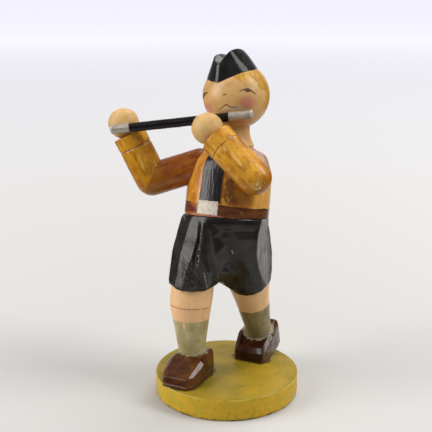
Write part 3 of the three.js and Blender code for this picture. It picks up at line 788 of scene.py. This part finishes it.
# The left leg's outer side is brushed coarse, dusty and paler grey, partly as a painted reflection
# of the softbox; one pleat and a fold by the hem have painted highlights, and the facet beside the
# chipped pleat is left rough by the knife, its chatter painted lighter as glints
aside = gloss_black.x * cos(camera_azimuth) + gloss_black.y * sin(camera_azimuth)
bulge = height - 44.5
coarse_dust_and_sheen = (aside - bulge * bulge * 0.019 - 8.42).rise(-0.15, 0.3) * gloss_black.y.rise(11, 6)
gloss_black.coat("989490", coarse_dust_and_sheen * (strokes.rise(0.32, 0.66) * 0.5 + 0.38))
# Painted highlight along one pleat
pleat_highlight = (aside + 4.44 + (height - 49.3) * 0.16).size().rise(0.7, 0.1)
pleat_highlight = pleat_highlight * height.between(36, 51, 2) * gloss_black.y.rise(-3, -4)
gloss_black.coat("3d3937", pleat_highlight * 0.7)
# The knife chatter on this facet is painted lighter, as glints, besides its relief
chatter = gloss_black.mottle(0.45, (1, 1, 3.2), 3)
rough_facet = aside.between(-12.4, -8.2, 0.6) * height.between(34, 42, 1.8) * in_front
gloss_black.coat("4b4641", rough_facet * chatter.rise(0.5, 0.64) * 0.7)
# Painted highlight along a fold by the hem
fold_highlight = (aside + 6.4 + (height - 38.8) * 0.17).size().rise(0.25, 0.08)
fold_highlight = fold_highlight * height.between(34, 38.8, 0.4) * gloss_black.y.rise(-5, -6)
gloss_black.coat("9a948b", fold_highlight * fine.rise(0.35, 0.5) * 0.7)
for chip_aside, chip_z, reach in ((1.65, 44.7, 1.2), (5.25, 35.7, 1.0), (6.4, 33.8, 1.0), (8.5, 35.4, 0.9)):
    near = length_of((aside - chip_aside) * 2, height - chip_z).rise(reach, reach * 0.6)
    gloss_black.coat(chipped_tone, near * chips * gloss_black.y.rise(0, -1) * 0.9)
shorts_relief = strokes * 0.05 + clouds * 0.15 + fine * 0.01 - pleat * chips * 0.08
shorts_relief = shorts_relief + rough_facet * chatter * 0.22
shorts_finish = gloss_black.done(strokes * 0.16 + 0.17 + coarse_dust_and_sheen * 0.25, shorts_relief, gloss=0.37)
add_piece("shorts_carved", shorts_shape, shorts_finish, "shorts_paint", "shorts")

# Torso: a turned body that leans back on the shorts, in amber stain under yellowed varnish. The
# belt, its bare plate and the black tie are brushed on, and the lacquer is scratched by the belt.
torso_radius = 12.2
torso_height = 20.4
neck_seat_radius = 5.8
torso_place = seat(waist_place + torso_axis * seam, torso_axis)


def torso_outline(growth=0.0):
    """The torso's outline, drawn outwards by a growth where something is cut to fit on it"""
    shoulder_curve = ((1, 0.3), (0.965, 0.64), (0.9, 0.765), (0.76, 0.868), (0.61, 0.946))
    outline = [(0, -1), (torso_radius + growth, -1)]
    outline += [(torso_radius * share + growth, torso_height * rise) for share, rise in shoulder_curve]
    outline += [(neck_seat_radius + growth, torso_height + growth), (0, torso_height + growth)]
    return eased(outline, 1.1, 0.7)


def tunic(name, place, light, dark, streak, pale):
    """Amber stain under varnish, streaked along the piece, with its relief and its fine grain"""
    paint = Finish(name, place)
    clouds = paint.mottle(5.5, detail=3)
    streaks = paint.mottle(1.1, (1, 1, 7), 4)
    fine = paint.mottle(0.5, detail=3)
    paint.ground(light, dark, clouds.rise(0.36, 0.68))
    paint.coat(streak, streaks.rise(0.48, 0.68) * 0.45)
    paint.coat(dark, paint.mottle(2.6, (1, 1, 1.6), 4).rise(0.52, 0.62) * 0.7)
    paint.coat(pale, paint.mottle(1.9, (1, 1, 2.2), 4).rise(0.58, 0.68) * 0.5)
    paint.coat("e6d6b0", paint.specks(2.2, 0.55, 0.11) * 0.7)
    return paint, clouds * 0.1 + streaks * 0.03 + fine * 0.012, fine


def scuff(paint, spot, reach, colour, grain=0.3, run=(1, 1, 9), level=0.57):
    """Short scratches through the varnish, gathered round a spot on the surface"""
    gap = length_of(paint.x - spot[0], paint.y - spot[1], paint.z - spot[2])
    marks = paint.mottle(grain, run, 2).rise(level, level + 0.1)
    paint.coat(colour, gap.rise(reach, reach * 0.3) * marks * 0.7)


amber, torso_relief, fine = tunic("torso_amber", torso_place, "d4942c", "b06c18", "955413", "d9ac55")
belt_top = amber.mottle(6, (1, 1, 0.5)) * 1.1 + 2.75
belt = (amber.z + amber.mottle(0.7, detail=3) * 0.24 - 0.12).rise(belt_top + 0.09, belt_top - 0.09)
leather = amber.over("9a552a", "5c3018", amber.mottle(2.6, (2, 2, 0.5), 4).rise(0.4, 0.62))
# The belt is painted darker on the figure's left side, as painted shade below the left forearm
leather = amber.over(leather, "37200f", amber.x.rise(0, 4) * 0.65)
amber.coat(leather, belt)
amber.coat("c08a6a", amber.z.rise(0.34, 0.12) * amber.mottle(1.5).rise(0.4, 0.55) * 0.5)

tie_round = amber.round + 1.2 + amber.mottle(2.4, (1, 1, 1.5)) * 2.4 - 1.2
tie = tie_round.between(-15.4, 15.2, 0.45) * amber.z.rise(3.6, 3.8)
amber.coat("6d3a16", tie_round.between(14.8, 17.2, 0.6) * amber.z.rise(3, 4) * 0.75)
amber.coat("1b1818", tie)
plate_round = amber.round + 3.4 + amber.mottle(1.6) * 1.4 - 0.7
plate_height = amber.z + amber.mottle(1.5) * 0.4 - 0.2
plate = plate_round.between(-15.2, 15.4, 0.4) * plate_height.between(0.35, 4.15, 0.1)
amber.coat(amber.over("d9d0c2", "b7aa98", amber.mottle(0.8, detail=3).rise(0.5, 0.72)), plate)
# Right of the tie the amber is painted darker, partly a stain and partly painted shadow of the left forearm
stain_and_arm_shadow = amber.round.between(16, 38, 5) * amber.z.between(3.4, 14, 1.5)
stain_and_arm_shadow = stain_and_arm_shadow * amber.mottle(2.4, detail=4).rise(0.26, 0.52) * plate.rest() * tie.rest()
amber.coat("5f3412", stain_and_arm_shadow * 0.9)
for spot, reach, colour in (
    ((8.3, -8.7, 2.0), 1.3, "dfc27a"),
    ((5, -11.1, 4.8), 1.8, "dcae5c"),
    ((8.3, -8.9, 5.1), 1.9, "b98a78"),
):
    scuff(amber, spot, reach, colour)
# Painted light: the far flank is painted paler where the side light falls on it
amber.coat("dcb064", amber.x.rise(8.5, 12) * belt.rest() * 0.4)
# Painted shadow of the left forearm darkens the amber further round
amber.coat("824e14", amber.round.between(36, 60, 7) * amber.z.between(3.6, 12, 2) * 0.62)
torso_relief = torso_relief + tie * amber.mottle(0.6, (1, 1, 8), 3) * 0.14
torso_relief = torso_relief + tie * 0.05 + belt * 0.03 + plate * 0.1
torso_finish = amber.done(fine * 0.2 + 0.12 + plate * 0.35, torso_relief, gloss=0.4)
torso_shape = turned(torso_outline(), torso_place, 144)
keep_behind(torso_shape, waist_place + waist_up * seam, -waist_up, 0.2)
make_uneven(torso_shape, 0.09, 5)
add_piece("torso_turned", torso_shape, torso_finish, "tunic_paint", "torso")

# Head: ball and neck turned in one, dowelled into the torso. The face, rosy cheeks and golden
# hair are brushed on over flesh paint.
head_radius = 9.55
neck_radius = 4.4
neck_length = 5.8
head_above_neck = 0.87
cap_seat_radius = 7.2
cap_roll = radians(-10)
cap_turn = radians(8)
torso_top = waist_place + torso_axis * (torso_height + glue_gap)
head_centre = torso_top + Vector(
    (0.3, 0.06 * (neck_length + head_radius), neck_length + head_above_neck * head_radius)
)
neck_axis = (head_centre - torso_top).normalized()
head_lift = (head_centre - torso_top).length
head_outline = [
    (0, -0.3 * neck_length),
    (neck_seat_radius, -0.3 * neck_length),
    (neck_seat_radius, 0.05 * neck_length),
    (0.88 * neck_seat_radius, 0.24 * neck_length),
    (neck_radius, 0.6 * neck_length),
    (neck_radius, head_lift - head_above_neck * head_radius - 0.1),
]
chin_angle = asin(neck_radius / head_radius)
for step in range(1, 48):
    angle = chin_angle + (pi - chin_angle) * step / 48
    head_outline.append((head_radius * sin(angle), head_lift - head_radius * cos(angle)))
head_outline.append((0, head_lift + head_radius))
head_shape = turned(eased(head_outline, 1.4, 0.7), seat(torso_top, neck_axis), 144)
keep_behind(head_shape, waist_place + torso_axis * (torso_height + 2 * seam), -torso_axis)
cap_tilt = Matrix.Rotation(cap_roll, 4, "Y") @ Matrix.Rotation(-cap_turn, 4, "Z")
cap_axis = (cap_tilt @ upward).normalized()
cap_seat_rise = sqrt(head_radius**2 - cap_seat_radius**2)
cap_seat = head_centre + cap_axis * cap_seat_rise
keep_behind(head_shape, cap_seat + cap_axis * 1.5, cap_axis)
make_uneven(head_shape, 0.09, 6)
head_core = head_shape.copy()

face_turn = Matrix.Rotation(radians(-6), 4, "Y") @ Matrix.Rotation(radians(3), 4, "Z")
face = Finish("head_paint", Matrix.Translation(head_centre) @ face_turn)


def brush_line(points, softness=0.09):
    """A line on the face through points, each given as x, z and the brush's half width there"""
    gap = None
    for (ax, az, aw), (bx, bz, bw) in zip(points, points[1:]):
        dx = bx - ax
        dz = bz - az
        span = dx * dx + dz * dz
        along = ((face.x - ax) * (dx / span) + (face.z - az) * (dz / span)).most(0).least(1)
        off = length_of(face.x - ax - along * dx, face.z - az - along * dz) - along * (bw - aw) - aw
        gap = off if gap is None else gap.least(off)
    return gap.rise(softness, -softness) * face.y.rise(0, -0.5)


clouds = face.mottle(5, detail=3)
fine = face.mottle(0.8, detail=3)
face.ground("d5a96c", "bd8e53", clouds.rise(0.42, 0.72) * 0.8)
face.coat("dab27c", face.mottle(3).rise(0.5, 0.7) * 0.5)
for cheek_x, cheek_z, reach in ((6.05, -1.43, 2.2), (-5.9, -2.4, 2.3)):
    away = length_of(face.x - cheek_x, face.z - cheek_z) + face.mottle(1.4) * 0.9 - 0.45
    face.coat("cc7670", away.rise(reach * 0.95, reach * 0.55) * face.y.rise(0, -1) * 0.55)
hair_edge = face.mottle(1.6, (1, 1, 0.6), 4) * 3 - 1.5
hair_line = face.x.most(0) * -0.7 + face.x.least(0) * 0.5 + 7.75
hair = (face.z + hair_edge - hair_line).rise(-0.25, 0.35)
hair_back = (face.y + hair_edge).rise(-2.2, -0.6) * face.z.rise(-4.6, -3.6)
golden = face.over("cc9a30", "a97818", face.mottle(1.1, (1, 1, 3), 4).rise(0.4, 0.65))
face.coat(golden, hair.most(hair_back) * 0.9)
lower_lip_highlight = ((-1.2, -3.0, 0.22), (0.7, -2.25, 0.4), (2.2, -2.95, 0.22))
smear = ((1.4, -2.95, 0.3), (2.6, -2.5, 0.45), (4.3, -2.75, 0.4))
left_lid = ((4.45, 1.9, 0.1), (5.2, 2.24, 0.16), (6.26, 2.2, 0.34), (7.1, 1.62, 0.2), (7.95, 0.68, 0.1))
left_pupil = ((5.95, 1.75, 0.22), (6.6, 1.7, 0.3))
right_lid = ((-5.3, 1.95, 0.1), (-6.2, 1.85, 0.25), (-7.1, 1.35, 0.42), (-8.5, 0.2, 0.5))
nose = ((0.05, 1.22, 0.12), (0.5, 1.42, 0.2), (0.85, 1.36, 0.1))
right_mouth = ((-1.6, -2.62, 0.1), (-0.7, -2.2, 0.13), (0.1, -1.6, 0.17), (0.8, -1.42, 0.2))
left_mouth = ((1.5, -2.1, 0.18), (2.3, -2.32, 0.14), (3.6, -2.3, 0.1))
# The pale lower lip is a painted highlight
face.coat("e2bf98", brush_line(lower_lip_highlight, 0.25) * 0.8)
face.coat("b3aa9c", brush_line(smear, 0.15) * 0.85)
for line in (left_lid, left_pupil, right_lid, nose):
    face.coat("4a2d18", brush_line(line) * 0.9)
face.coat("7a3b1a", brush_line(right_mouth + left_mouth) * 0.9)
head_finish = face.done(fine * 0.2 + 0.22, clouds * 0.08 + fine * 0.015, gloss=0.4)
add_piece("head_turned", head_shape, head_finish, "skin_paint", "head")

# Cap: a side cap carved from one block in gloss black, glued flush on the flat of the head. Two
# ridges with a groove between them meet in a sharp crease at the front and at the back.
cap_height = 6.2
ridge_half_width = 3.05
ridge_half_length = 6.7
cap_groove_depth = 1.9
cap_front_drop = 3.4
cap_front_wedge = radians(22)
cap_place = Matrix.Translation(cap_seat) @ cap_tilt


def cap_ring(share, inward, points=96):
    """A ring of the cap: its rim lies on the head and dips to a point in front, and above it the
    sides draw in to two ridges, which meet in front and behind and have a groove between them"""
    ring = []
    for step in range(points):
        across = cos(2 * pi * step / points)
        along = sin(2 * pi * step / points)
        dip = 0.25 - 1.5 * max(0, -along) ** 4.2 - 0.45 * max(0, -across) ** 2 - 0.9 * max(0, along) ** 4
        lies_out = sqrt((head_radius + 0.05) ** 2 - (cap_seat_rise + dip) ** 2)
        if along < 0:
            lies_out /= cos(max(0, cap_front_wedge - abs(asin(across))))
        rim = Vector((across * lies_out, along * lies_out, dip))
        width = ridge_half_width * (1 - abs(along) ** 4.5)
        length = ridge_half_length * along
        back = (length + 1) / (ridge_half_length - 1 if length < -1 else ridge_half_length + 1)
        if across > 0:
            height = cap_height + 0.5 - cap_front_drop * abs(back) ** (3.2 if back < 0 else 2)
        else:
            width *= -1.05
            height = cap_height - 0.25 - (cap_front_drop - 0.75) * abs(back) ** 2
        groove = cap_height - cap_groove_depth - 0.3 - 0.9 * abs(along) ** 3
        height = groove + (height - groove) * min(1, inward * 1.15)
        top = Vector((width * inward, length * (0.75 + 0.25 * inward), height))
        bulge = Vector((max(0, across), 0, 0)) * 0.2 * sin(pi * share)
        ring.append(cap_place @ (rim.lerp(top, share) + bulge))
    return ring


cap_shape = bmesh.new()
cap_steps = ((0, 1), (0.2, 1), (0.4, 1), (0.6, 1), (0.8, 1), (1, 1), (1, 0.85), (1, 0.5), (1, 0.1))
lofted(cap_shape, [circle(cap_place, 4.2, -3, 96), *(cap_ring(*step) for step in cap_steps)])
soften_carving(cap_shape, 0.13, 4)
make_uneven(cap_shape, 0.05, 3, 2.0)
cut_out(cap_shape, head_core)
cap_black = Finish("cap_black", cap_place)
clouds = cap_black.mottle(4, detail=3)
fine = cap_black.mottle(0.6, detail=3)
cap_black.ground("121212", "232121", clouds.rise(0.35, 0.7))
cap_black.coat("5a5553", cap_black.edges(0.53, 0.6) * fine.rise(0.4, 0.6) * 0.3)
# Painted highlight: the front crease is painted grey where it catches the light
crease_highlight = cap_black.x.between(-0.5, 0.4, 0.15) * cap_black.y.rise(-5.3, -6.2) * cap_black.z.rise(3.5, 3.0)
cap_black.coat("86817e", crease_highlight * (fine * 0.5 + 0.35))
# Painted reflection: the floor of the groove is painted grey where it catches the light
ridge_at = (cap_black.y * (1 / ridge_half_length)).size().maths("POWER", 4.5) * -3 + 2.75
groove = (cap_black.x.size() - ridge_at).rise(0.15, -0.15) * cap_black.z.rise(3.0, 3.4)
cap_black.coat("6f6b69", groove * fine.rise(0.35, 0.6) * 0.55)
cap_finish = cap_black.done(fine * 0.12 + 0.1, clouds * 0.08 + fine * 0.015, gloss=0.2)
add_piece("cap_carved", cap_shape, cap_finish, "cap_paint", "cap")

# Fife: a length of thin dowel in black paint, its ends dipped in silver. It is glued in a groove
# in each hand and touches the lips.
fife_length = 40.6
fife_radius = 1.3
fife_past_mouth = 5.5
fife_direction = Vector((0.9493, 0.2852, 0.1322)).normalized()
mouth_direction = Vector((0.314, -0.861, -0.399)).normalized()
mouth = head_centre + mouth_direction * (head_radius + fife_radius + glue_gap)
fife_start = mouth + fife_direction * fife_past_mouth - fife_direction * fife_length
fife_place = seat(fife_start, fife_direction)
fife_foot = [(0, 0.25), (0.35, 0.25), (0.5, 0), (fife_radius, 0)]
fife_outline = fife_foot + [(radius, fife_length - height) for radius, height in fife_foot[::-1]]
fife_shape = turned(eased(fife_outline, 0.2, 0.7), fife_place, 48)
make_uneven(fife_shape, 0.07, 3)
fife_black = Finish("fife_paint", fife_place)
scratches = fife_black.mottle(0.35, (1, 1, 10), 3)
dipped = fife_black.z + fife_black.mottle(1.2, detail=3) * 0.9 - 0.45
silver = dipped.rise(5.5, 5.25).most(dipped.rise(fife_length - 6.8, fife_length - 6.6))
silver_paint = fife_black.over("b9b1a6", "8f867b", fife_black.mottle(0.6, (1, 1, 4), 3).rise(0.4, 0.7))
# The rounded ends are painted paler, as painted highlights on the silver
tip_highlights = fife_black.z.rise(fife_length - 1.0, fife_length - 0.5).most(fife_black.z.rise(0.6, 0.3))
silver_paint = fife_black.over(silver_paint, "ded8cd", tip_highlights * 0.4)
fife_black.ground("100e0e", "221d1c", scratches.rise(0.5, 0.7))
fife_black.coat(silver_paint, silver)
fife_finish = fife_black.done(scratches * 0.25 + 0.12 + silver * 0.18, scratches * 0.04, 0.25, silver * 0.5)
add_piece("fife_dowel", fife_shape, fife_finish, "fife_paint", "fife")

# Arms: each is two lengths of turned dowel, mitred at the elbow and rounded outside it, coped to
# the torso at the shoulder. A scored line marks the cuff, and a turned ball makes the hand.
sleeve_radius = 4.75
cuff_length = 4
hand_radius = 4.4
wrist_from_hand = 3.5
shoulder_rise = 0.735 * torso_height


def rounded_end(radius, height, start, end, steps=10):
    """Points of an outline round a ball end, from one angle to another"""
    angles = [radians(start + (end - start) * step / steps) for step in range(steps + 1)]
    return [(radius * cos(angle), height + radius * sin(angle)) for angle in angles]


def sleeve(outline, ease, place, mitre_point, mitre_normal, seed):
    """A length of sleeve, rounded at the elbow, cut there to the mitre and coped to the torso"""
    outline = [(0, -sleeve_radius), *rounded_end(sleeve_radius, 0, -80, 0), *outline]
    shape = turned(eased(outline, ease), place, 96)
    keep_behind(shape, mitre_point, mitre_normal, 0.1)
    cut_out(shape, turned(torso_outline(seam), torso_place, 144))
    make_uneven(shape, 0.07, 4, seed)
    return shape


def add_arm(
    side, shoulder_out, upper_arm, hand_station, hand_offset, groove, upper_tones, fore_tones, fade, wear_and_sheen_spot
):
    """The upper arm, forearm and hand of one side"""
    shoulder = waist_place + torso_axis * shoulder_rise + Vector(shoulder_out)
    elbow = shoulder + Vector(upper_arm)
    hand = mouth - fife_direction * hand_station + Vector(hand_offset)
    wrist = beyond(hand, elbow, -wrist_from_hand)
    to_wrist = (wrist - elbow).normalized()
    mitre = ((shoulder - elbow).normalized() - to_wrist).normalized()
    slot = "tunic_paint"

    length = (elbow - shoulder).length
    outline = [*rounded_end(sleeve_radius, length, 0, 80), (0, length + sleeve_radius)]
    shape = sleeve(outline, 0.3, seat(shoulder, elbow - shoulder), elbow + mitre * seam, -mitre, 5.0)
    paint, relief, fine = tunic(f"{side}_upper_arm_amber", seat(elbow, shoulder - elbow), *upper_tones)
    at_elbow = (paint.z + paint.mottle(2.4, detail=3) * 6 - 3).rise(7, 0)
    paint.coat(fore_tones[1], at_elbow * 0.85)
    finish = paint.done(fine * 0.2 + 0.12, relief, gloss=0.35)
    add_piece(f"{side}_upper_arm_turned", shape, finish, slot, f"{side}_upper_arm")

    length = (wrist - elbow).length
    cuff = length - cuff_length
    outline = [(sleeve_radius, cuff - 0.3), (sleeve_radius - groove, cuff), (sleeve_radius, cuff + 0.3)]
    outline += [(sleeve_radius, length), (0, length)]
    shape = sleeve(outline, 0.28, seat(elbow, wrist - elbow), elbow - mitre * seam, mitre, 6.0)
    paint, relief, fine = tunic(f"{side}_forearm_amber", seat(elbow, wrist - elbow), *fore_tones)
    scored = (paint.z - cuff).size().rise(0.28, 0.1)
    paint.coat("5e3310", scored * paint.mottle(1.4, (1, 1, 0.3)).rise(0.3, 0.55) * 0.7)
    at_elbow = (paint.z + paint.mottle(2.4, detail=3) * 6 - 3).rise(5, -2)
    paint.coat(fore_tones[1], at_elbow * fade)
    # A pale patch near the elbow, partly worn varnish and partly a painted reflection of the softbox
    scuff(paint, wear_and_sheen_spot, 2.8, "e2d190", 0.9, (1.3, 1, 1.6), 0.48)
    finish = paint.done(fine * 0.2 + 0.12, relief, gloss=0.35)
    add_piece(f"{side}_forearm_turned", shape, finish, slot, f"{side}_forearm")

    ball = [(0, -hand_radius), *rounded_end(hand_radius, 0, -86, 86, 40), (0, hand_radius)]
    shape = turned(ball, seat(hand, hand - wrist), 72)
    keep_behind(shape, wrist + to_wrist * seam, -to_wrist)
    rod = [(0, 0), (fife_radius + seam, 0), (fife_radius + seam, fife_length + 2), (0, fife_length + 2)]
    cut_out(shape, turned(eased(rod, 0.05), seat(fife_start - fife_direction, fife_direction), 48))
    make_uneven(shape, 0.1, 3.5, 7.0)
    paint = Finish(f"{side}_hand_paint", seat(hand, fife_direction))
    clouds = paint.mottle(3, detail=3)
    fine = paint.mottle(0.6, detail=3)
    paint.ground("d3ad72", "c3985c", clouds.rise(0.4, 0.7))
    paint.coat("dcb98a", paint.mottle(1.6, detail=3).rise(0.52, 0.7) * 0.5)
    finish = paint.done(fine * 0.2 + 0.3, clouds * 0.08 + fine * 0.015, gloss=0.25)
    add_piece(f"{side}_hand_turned", shape, finish, "skin_paint", f"{side}_hand")


add_arm(
    "right",
    (-7.9, -4.6, 0),
    (-12.6, -5.9, -4.4),
    32.5,
    (-1.4, 4.3, 0.75),
    0.25,
    ("9a5410", "76390b", "ad6314", "a8641c"),
    ("cc8f1e", "9c620f", "d8a23a", "dfbb68"),
    0.6,
    (-2.6, -2.6, -3.0),
)
add_arm(
    "left",
    (6.9, -0.6, 0),
    (6, -12.6, 0),
    7.1,
    (1, -2.4, -2.1),
    0.075,
    ("be7c18", "a06010", "8e500c", "cf9a40"),
    ("d0942b", "a0640f", "e0b04a", "e6c47a"),
    0.1,
    (0.5, -3.2, -3.4),
)

# Dowels and pegs: beech rod, hidden in the glued joints, with a shallow flute for the glue. They
# keep their construction shapes and are given bare wood.
beech = Finish("bare_beech")
grain = beech.mottle(0.25, (1, 1, 12), 4)
flecks = beech.mottle(0.5, (0.6, 0.6, 2.5), 2)
beech.ground("cfae7a", "b48d56", grain.rise(0.4, 0.7))
beech.coat("a27a48", flecks.rise(0.62, 0.7) * 0.6)
wood_finish = beech.done(grain * 0.2 + 0.55, grain * 0.02)
for name in (
    "right_shoe_peg",
    "left_shoe_peg",
    "right_knee_dowel",
    "right_elbow_dowel",
    "left_elbow_dowel",
    "right_shoulder_dowel",
    "left_shoulder_dowel",
    "cap_dowel",
):
    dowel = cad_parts[name]
    dowel.data.materials.clear()
    dowel.data.materials.append(wood_finish)
